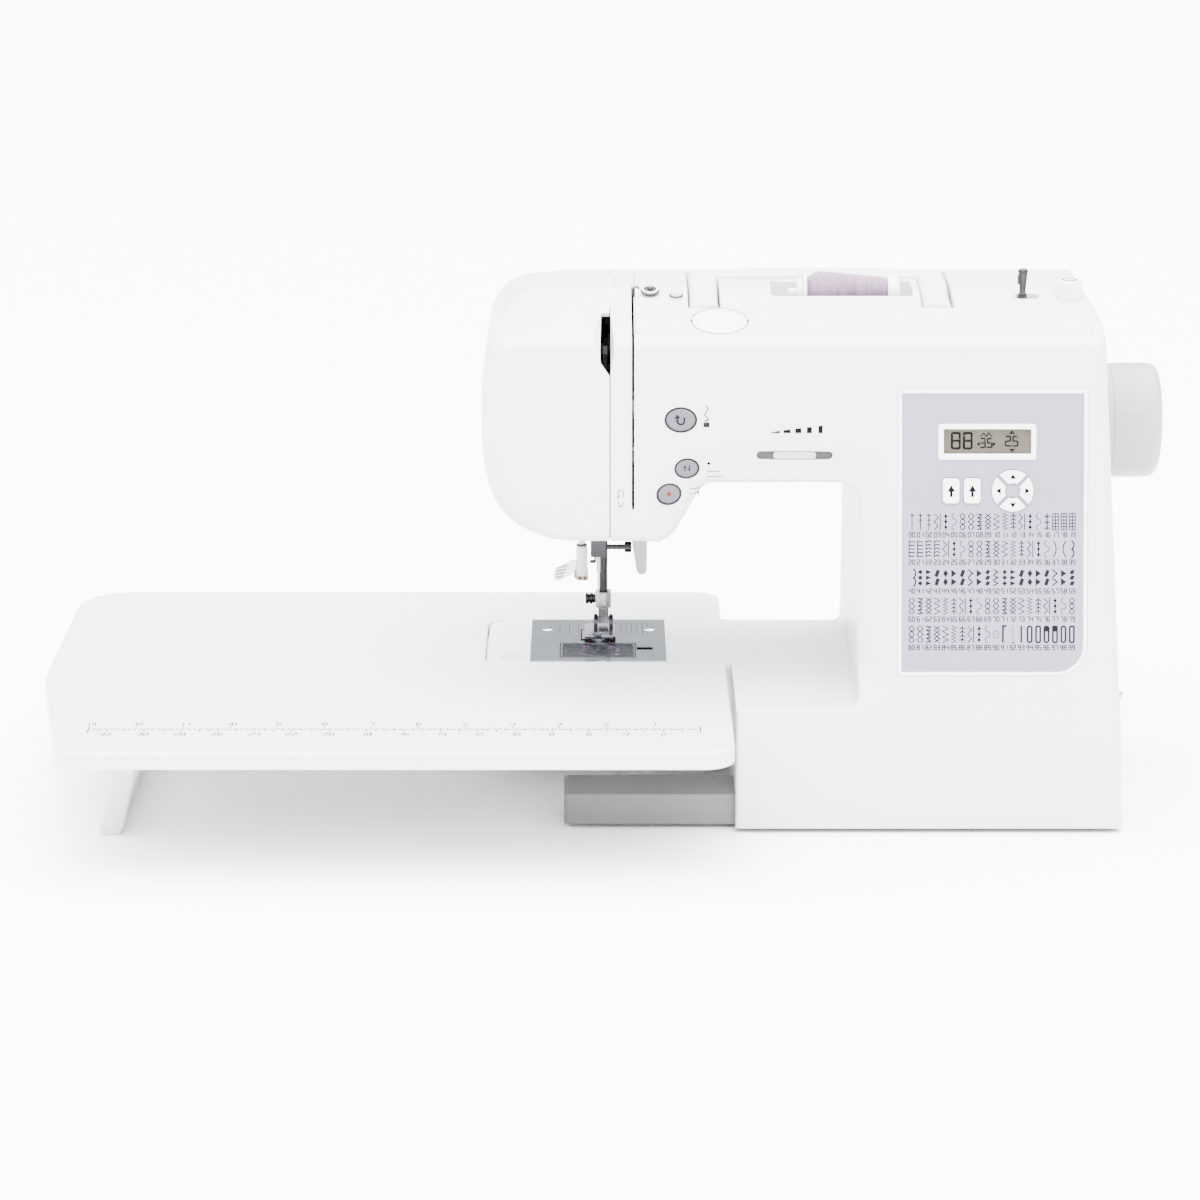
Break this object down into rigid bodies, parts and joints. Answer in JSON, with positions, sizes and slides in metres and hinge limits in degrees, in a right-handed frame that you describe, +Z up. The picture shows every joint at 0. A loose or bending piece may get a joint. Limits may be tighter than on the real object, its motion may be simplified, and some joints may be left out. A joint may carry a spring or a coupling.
{
  "type": "sewing machine",
  "caption": "White computer-controlled free-arm sewing machine with a lavender stitch panel, handwheel, lying thread spool and a wide extension table on a folding leg.",
  "frame": {"origin": "centre of the object's footprint box on the standing surface, with the table fitted and its leg open", "axes": "+X to the handwheel side, +Y to the back of the machine (the operator sits on the -Y side), +Z up"},
  "size_m": [0.632, 0.316, 0.2975],
  "materials": {
    "shell_white": "smooth satin white plastic",
    "table_white": "smooth satin white plastic",
    "base_grey": "fine matte grey plastic",
    "rubber": "matte black rubber",
    "screw_steel": "zinc plated",
    "cast_metal": "die-cast, bare",
    "panel_lavender": "satin lavender grey film",
    "lcd_window": "clear window",
    "lcd_cell": "reflective display cell",
    "board_green": "coated circuit board",
    "key_white": "smooth white keys",
    "button_grey": "satin lavender grey",
    "steel": "ground steel",
    "chrome": "polished plating",
    "dark_plastic": "black plastic",
    "motor_black": "black painted can",
    "belt_rubber": "toothed belt rubber",
    "thread_violet": "wound thread",
    "bobbin_pink": "clear bobbin wound with pink thread",
    "cover_clear": "clear plastic"
  },
  "bodies": {
    "machine": {"base_tray": "base_grey", "rubber_feet": "rubber", "case_screws": "screw_steel", "frame_casting": "cast_metal", "free_arm_cover": "shell_white", "front_cover": "shell_white", "rear_cover": "shell_white", "top_cover": "shell_white", "control_panel": "panel_lavender", "display_window": "lcd_window", "display_module": "lcd_cell", "control_board": "board_green", "bobbin_case": "dark_plastic", "drive_motor": "motor_black", "drive_belts": "belt_rubber", "spool_pin": "shell_white", "winder_stop": "shell_white", "thread_guides": "chrome", "needle_plate": "steel", "power_inlet": "dark_plastic"},
    "face_door": {"face_cover": "shell_white"},
    "main_drive": {"handwheel": "shell_white", "main_shaft": "steel"},
    "lower_drive": {"lower_shaft": "steel"},
    "hook": {"rotary_hook": "steel"},
    "motor_drive": {"motor_pulley": "steel"},
    "bobbin": {"bobbin": "bobbin_pink"},
    "needle_drive": {"needle_bar": "chrome", "needle_bar_link": "steel", "needle_clamp_screw": "chrome", "needle": "chrome"},
    "take_up": {"take_up_lever": "steel"},
    "presser": {"presser_bar": "chrome", "foot_holder": "chrome", "presser_screw": "chrome"},
    "foot": {"presser_foot": "chrome"},
    "lifter": {"lifter_lever": "shell_white"},
    "threader": {"needle_threader": "shell_white"},
    "feed": {"feed_dog": "steel"},
    "handle": {"carry_handle": "shell_white"},
    "spool": {"thread_spool": "thread_violet"},
    "spool_end": {"spool_cap": "shell_white"},
    "winder_base": {"winder_slider": "shell_white"},
    "winder": {"winder_spindle": "dark_plastic"},
    "tension": {"tension_dial": "shell_white"},
    "reverse_press": {"reverse_button": "button_grey"},
    "needle_press": {"needle_button": "button_grey"},
    "start_press": {"start_button": "button_grey"},
    "speed": {"speed_slider": "button_grey"},
    "tens_press": {"key_tens": "key_white"},
    "units_press": {"key_units": "key_white"},
    "up_press": {"key_up": "key_white"},
    "down_press": {"key_down": "key_white"},
    "left_press": {"key_left": "key_white"},
    "right_press": {"key_right": "key_white"},
    "rocker": {"power_switch": "dark_plastic"},
    "table": {"extension_table": "table_white"},
    "leg": {"table_leg": "table_white"},
    "bobbin_lid": {"bobbin_cover": "cover_clear"},
    "release": {"cover_release": "dark_plastic"}
  },
  "joints": [
    {"name": "face_cover_hinge", "type": "hinge", "parent": "machine", "child": "face_door", "pos_m": [0.0033, 0.097, 0.22], "axis": [0, 0, -1], "range_deg": [0, 100]},
    {"name": "handwheel_turn", "type": "hinge", "parent": "machine", "child": "main_drive", "pos_m": [-0.002, 0.051, 0.204], "axis": [1, 0, 0], "continuous": true},
    {"name": "lower_shaft_turn", "type": "hinge", "parent": "machine", "child": "lower_drive", "pos_m": [-0.002, 0.0498, 0.036], "axis": [1, 0, 0], "continuous": true},
    {"name": "hook_turn", "type": "hinge", "parent": "machine", "child": "hook", "pos_m": [-0.0035, 0.036, 0.036], "axis": [0, 0, 1], "continuous": true},
    {"name": "motor_turn", "type": "hinge", "parent": "machine", "child": "motor_drive", "pos_m": [0.239, -0.021, 0.05], "axis": [1, 0, 0], "continuous": true},
    {"name": "bobbin_spin", "type": "hinge", "parent": "machine", "child": "bobbin", "pos_m": [-0.0035, 0.036, 0.055], "axis": [0, 0, 1], "continuous": true},
    {"name": "needle_stroke", "type": "slide", "parent": "machine", "child": "needle_drive", "axis": [0, 0, -1], "range_m": [0, 0.028]},
    {"name": "take_up_swing", "type": "hinge", "parent": "machine", "child": "take_up", "pos_m": [0.001, 0.031, 0.238], "axis": [1, 0, 0], "range_deg": [0, 41]},
    {"name": "lifter_swing", "type": "hinge", "parent": "machine", "child": "lifter", "pos_m": [0.014, 0.079, 0.151], "axis": [0, -1, 0], "range_deg": [0, 70]},
    {"name": "presser_lift", "type": "slide", "parent": "machine", "child": "presser", "axis": [0, 0, 1], "range_m": [0, 0.006]},
    {"name": "foot_tilt", "type": "hinge", "parent": "presser", "child": "foot", "pos_m": [0, 0.071, 0.08], "axis": [1, 0, 0], "range_deg": [-6, 1.5], "stiffness_Nm_per_rad": 0.02},
    {"name": "threader_pull", "type": "slide", "parent": "machine", "child": "threader", "axis": [0, 0, -1], "range_m": [0, 0.022], "stiffness_N_per_m": 40, "springref_m": -0.008},
    {"name": "feed_travel", "type": "slide", "parent": "machine", "child": "feed", "axis": [0, 1, 0], "range_m": [-0.0015, 0.0015]},
    {"name": "handle_hinge", "type": "hinge", "parent": "machine", "child": "handle", "pos_m": [0.058, 0.015, 0.276], "axis": [1, 0, 0], "range_deg": [0, 95]},
    {"name": "spool_spin", "type": "hinge", "parent": "machine", "child": "spool", "pos_m": [0.136, 0.037, 0.281], "axis": [1, 0, 0], "continuous": true},
    {"name": "spool_cap_off", "type": "slide", "parent": "machine", "child": "spool_end", "axis": [-1, 0, 0], "range_m": [0, 0.012]},
    {"name": "winder_shift", "type": "slide", "parent": "machine", "child": "winder_base", "axis": [1, 0, 0], "range_m": [0, 0.004]},
    {"name": "winder_spin", "type": "hinge", "parent": "winder_base", "child": "winder", "pos_m": [0.234, 0.02, 0.285], "axis": [0, 0, 1], "continuous": true},
    {"name": "tension_turn", "type": "hinge", "parent": "machine", "child": "tension", "pos_m": [0.064, -0.01, 0.27421], "axis": [0, -0.2546, 0.9671], "range_deg": [-150, 150]},
    {"name": "reverse_push", "type": "slide", "parent": "machine", "child": "reverse_press", "axis": [0, 0.9719, -0.2353], "range_m": [0, 0.0015], "stiffness_N_per_m": 400, "springref_m": -0.001},
    {"name": "needle_push", "type": "slide", "parent": "machine", "child": "needle_press", "axis": [0, 0.9719, -0.2353], "range_m": [0, 0.0015], "stiffness_N_per_m": 400, "springref_m": -0.001},
    {"name": "start_push", "type": "slide", "parent": "machine", "child": "start_press", "axis": [0, 0.9719, -0.2353], "range_m": [0, 0.0015], "stiffness_N_per_m": 400, "springref_m": -0.001},
    {"name": "speed_slide", "type": "slide", "parent": "machine", "child": "speed", "axis": [1, 0, 0], "range_m": [-0.009, 0.009]},
    {"name": "tens_push", "type": "slide", "parent": "machine", "child": "tens_press", "axis": [0, 0.9719, -0.2353], "range_m": [0, 0.0008], "stiffness_N_per_m": 300, "springref_m": -0.001},
    {"name": "units_push", "type": "slide", "parent": "machine", "child": "units_press", "axis": [0, 0.9719, -0.2353], "range_m": [0, 0.0008], "stiffness_N_per_m": 300, "springref_m": -0.001},
    {"name": "up_push", "type": "slide", "parent": "machine", "child": "up_press", "axis": [0, 0.9719, -0.2353], "range_m": [0, 0.0008], "stiffness_N_per_m": 300, "springref_m": -0.001},
    {"name": "down_push", "type": "slide", "parent": "machine", "child": "down_press", "axis": [0, 0.9719, -0.2353], "range_m": [0, 0.0008], "stiffness_N_per_m": 300, "springref_m": -0.001},
    {"name": "left_push", "type": "slide", "parent": "machine", "child": "left_press", "axis": [0, 0.9719, -0.2353], "range_m": [0, 0.0008], "stiffness_N_per_m": 300, "springref_m": -0.001},
    {"name": "right_push", "type": "slide", "parent": "machine", "child": "right_press", "axis": [0, 0.9719, -0.2353], "range_m": [0, 0.0008], "stiffness_N_per_m": 300, "springref_m": -0.001},
    {"name": "power_rock", "type": "hinge", "parent": "machine", "child": "rocker", "pos_m": [0.277, 0.064, 0.039], "axis": [0, 1, 0], "range_deg": [-16, 0]},
    {"name": "table_off", "type": "slide", "parent": "machine", "child": "table", "axis": [-1, 0, 0], "range_m": [0, 0.16]},
    {"name": "leg_fold", "type": "hinge", "parent": "table", "child": "leg", "pos_m": [-0.258, -0.011, 0.061], "axis": [0, -1, 0], "range_deg": [0, 98]},
    {"name": "bobbin_cover_lift", "type": "slide", "parent": "machine", "child": "bobbin_lid", "axis": [0, 0, 1], "range_m": [0, 0.017]},
    {"name": "release_slide", "type": "slide", "parent": "machine", "child": "release", "axis": [1, 0, 0], "range_m": [0, 0.003]}
  ],
  "couplings": [
    {"joint": "lower_shaft_turn", "follows": "handwheel_turn", "ratio": 1},
    {"joint": "hook_turn", "follows": "handwheel_turn", "ratio": -2},
    {"joint": "motor_turn", "follows": "handwheel_turn", "ratio": 3.5},
    {"joint": "take_up_swing", "follows": "needle_stroke", "rad_per_m": 25},
    {"joint": "lifter_swing", "follows": "presser_lift", "rad_per_m": 200}
  ]
}
